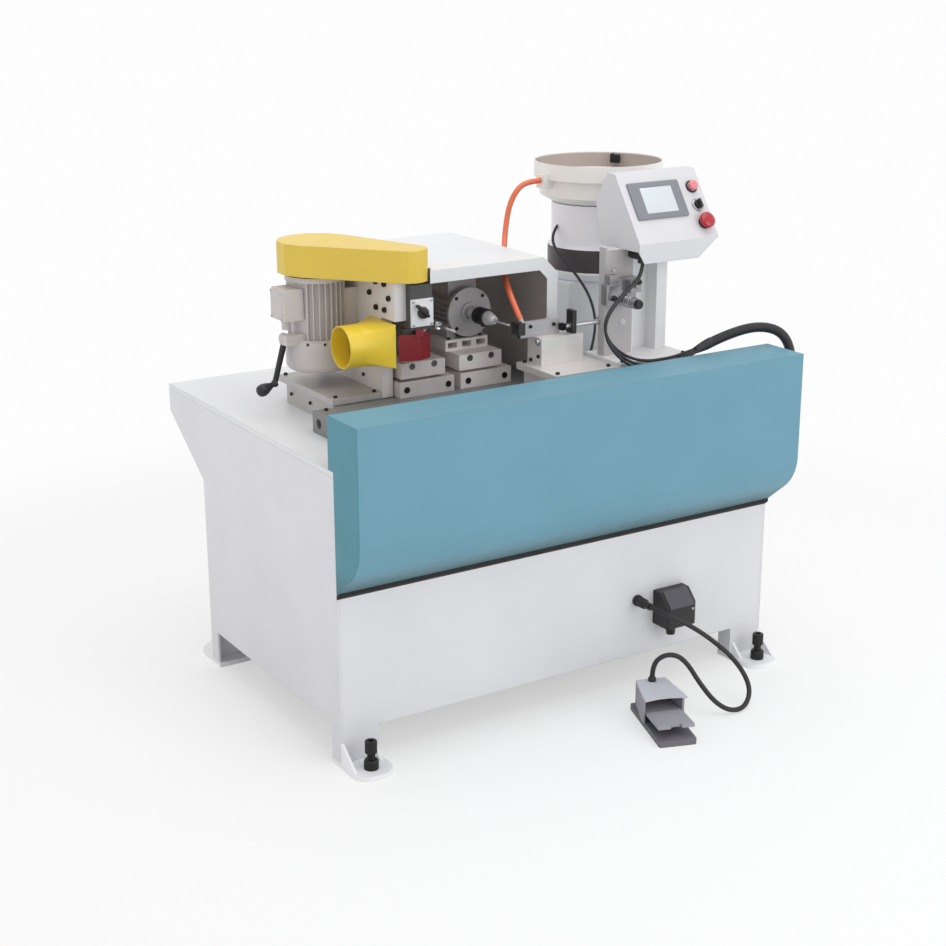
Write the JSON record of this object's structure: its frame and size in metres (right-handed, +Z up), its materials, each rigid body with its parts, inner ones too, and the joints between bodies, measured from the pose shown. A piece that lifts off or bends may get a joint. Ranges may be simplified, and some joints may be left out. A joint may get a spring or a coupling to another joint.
{
  "type": "drilling and tapping machine",
  "caption": "Cabinet-mounted drilling and tapping machine with a belt-driven trimming spindle, sliding drill and tap units, feeder bowl, control post and foot pedal.",
  "frame": {"origin": "on the floor under the middle of the machine's outline, pedal and conduit elbow included", "axes": "+Z up, +X to the operator's right, +Y from the operator's side to the back"},
  "size_m": [1.294, 1.2314, 1.25],
  "materials": {
    "cabinet_paint": "textured powder coat",
    "cover_paint": "satin blue-green paint",
    "seal_rubber": "matt black rubber",
    "machined_steel": "ground steel",
    "slide_steel": "ground cast iron",
    "column_paint": "light grey paint",
    "motor_paint": "grey paint",
    "dark_paint": "dark grey paint",
    "pulley_iron": "turned cast iron",
    "belt_rubber": "matt black rubber",
    "guard_yellow": "yellow paint",
    "guard_red": "red paint",
    "bright_steel": "bright steel",
    "black_steel": "black oxide",
    "white_plastic": "white plastic",
    "black_plastic": "black plastic",
    "grey_plastic": "grey plastic",
    "hood_paint": "pale grey paint",
    "box_paint": "pale grey powder coat",
    "button_red": "red gloss plastic",
    "air_aluminium": "cast aluminium",
    "bowl_paint": "pale grey enamel",
    "drum_paint": "pale grey paint with a black band",
    "pedal_paint": "grey painted casting",
    "cable_black": "black cable sheath",
    "conduit_plastic": "ribbed grey plastic",
    "hose_orange": "orange plastic"
  },
  "bodies": {
    "machine": {"air_unit": "air_aluminium", "bed_rail": "machined_steel", "belt_guard": "guard_yellow", "cabinet_floor": "cabinet_paint", "cabinet_front_panel": "cabinet_paint", "cabinet_left_side": "cabinet_paint", "cabinet_rear_panel": "cabinet_paint", "cabinet_right_side": "cabinet_paint", "column_plate": "column_paint", "control_box": "box_paint", "control_cables": "cable_black", "control_post": "box_paint", "cover_seal": "seal_rubber", "cutter_guard": "guard_red", "drill_slide_base": "slide_steel", "drive_belt": "belt_rubber", "dust_duct": "guard_yellow", "feed_hose": "hose_orange", "feed_jaw": "black_steel", "feeder_drum": "drum_paint", "feeder_pedestal": "bowl_paint", "fixture_base": "machined_steel", "fixture_block": "machined_steel", "foot_brackets": "cabinet_paint", "hmi_panel": "grey_plastic", "junction_box": "black_plastic", "levelling_bolts": "black_steel", "motor_hood": "hood_paint", "pedal_base": "pedal_paint", "pedal_cable": "cable_black", "pedal_hood": "pedal_paint", "power_conduit": "conduit_plastic", "pusher_cylinder": "air_aluminium", "socket_screws": "black_steel", "spindle_housing": "dark_paint", "splash_cover": "cover_paint", "switch_plate": "white_plastic", "table_top": "cabinet_paint", "tap_slide_base": "slide_steel", "trim_base": "machined_steel", "trim_motor": "motor_paint"},
    "motor_drive": {"motor_pulley": "pulley_iron"},
    "cutter": {"spindle_pulley": "pulley_iron", "cutter_spindle": "bright_steel"},
    "lever": {"clamp_lever": "bright_steel"},
    "switch": {"switch_knob": "black_plastic"},
    "tap_carriage": {"tap_slide_table": "slide_steel", "tap_motor": "motor_paint"},
    "tap_tool": {"tap_holder": "bright_steel"},
    "drill_carriage": {"drill_slide_table": "slide_steel", "drill_motor": "motor_paint"},
    "drill_tool": {"drill_chuck": "black_steel", "drill_bit": "bright_steel"},
    "pusher": {"pusher_head": "bright_steel"},
    "start": {"start_button": "button_red"},
    "stop": {"stop_button": "button_red"},
    "selector": {"mode_selector": "black_plastic"},
    "regulator": {"regulator_knob": "black_plastic"},
    "bowl": {"feeder_bowl": "bowl_paint"},
    "treadle": {"pedal_treadle": "pedal_paint"}
  },
  "joints": [
    {"name": "motor_spin", "type": "hinge", "parent": "machine", "child": "motor_drive", "pos_m": [-0.431, 0.193, 1.075], "axis": [0, 0, 1], "continuous": true},
    {"name": "cutter_spin", "type": "hinge", "parent": "machine", "child": "cutter", "pos_m": [-0.307, -0.028, 1], "axis": [0, 0, 1], "continuous": true},
    {"name": "lever_swing", "type": "hinge", "parent": "machine", "child": "lever", "pos_m": [-0.52, 0.189, 0.884], "axis": [0, 1, 0], "range_deg": [-10, 55]},
    {"name": "switch_turn", "type": "hinge", "parent": "machine", "child": "switch", "pos_m": [-0.292, -0.064, 0.965], "axis": [0, 1, 0], "range_deg": [-45, 45]},
    {"name": "tap_feed", "type": "slide", "parent": "machine", "child": "tap_carriage", "axis": [0, -1, 0], "range_m": [-0.01, 0.03]},
    {"name": "tap_spin", "type": "hinge", "parent": "tap_carriage", "child": "tap_tool", "pos_m": [-0.245, 0.015, 0.927], "axis": [0, 1, 0], "continuous": true},
    {"name": "drill_feed", "type": "slide", "parent": "machine", "child": "drill_carriage", "axis": [0, -1, 0], "range_m": [-0.015, 0.045]},
    {"name": "drill_spin", "type": "hinge", "parent": "drill_carriage", "child": "drill_tool", "pos_m": [-0.094, 0.015, 0.923], "axis": [0, 1, 0], "continuous": true},
    {"name": "pusher_stroke", "type": "slide", "parent": "machine", "child": "pusher", "axis": [-1, 0, 0], "range_m": [0, 0.06]},
    {"name": "start_press", "type": "slide", "parent": "machine", "child": "start", "axis": [0, 0.8295, -0.5584], "range_m": [0, 0.005], "stiffness_N_per_m": 400, "springref_m": -0.003},
    {"name": "stop_press", "type": "slide", "parent": "machine", "child": "stop", "axis": [0, 0.8295, -0.5584], "range_m": [0, 0.005], "stiffness_N_per_m": 500, "springref_m": -0.004},
    {"name": "selector_turn", "type": "hinge", "parent": "machine", "child": "selector", "pos_m": [0.414, -0.17753, 1.16751], "axis": [0, -0.8295, 0.5584], "range_deg": [-45, 45]},
    {"name": "regulator_turn", "type": "hinge", "parent": "machine", "child": "regulator", "pos_m": [0.199, -0.235, 0.958], "axis": [0, 1, 0], "range_deg": [-170, 170]},
    {"name": "bowl_shake", "type": "hinge", "parent": "machine", "child": "bowl", "pos_m": [0.367, 0.165, 1.143], "axis": [0, 0, 1], "range_deg": [-1.2, 1.2], "stiffness_Nm_per_rad": 60},
    {"name": "treadle_press", "type": "hinge", "parent": "machine", "child": "treadle", "pos_m": [0.12179, -0.43381, 0.034], "axis": [0.9455, -0.3256, 0], "range_deg": [0, 7], "stiffness_Nm_per_rad": 6, "springref_deg": -17.19}
  ],
  "couplings": [
    {"joint": "cutter_spin", "follows": "motor_spin", "ratio": 2.5652}
  ]
}
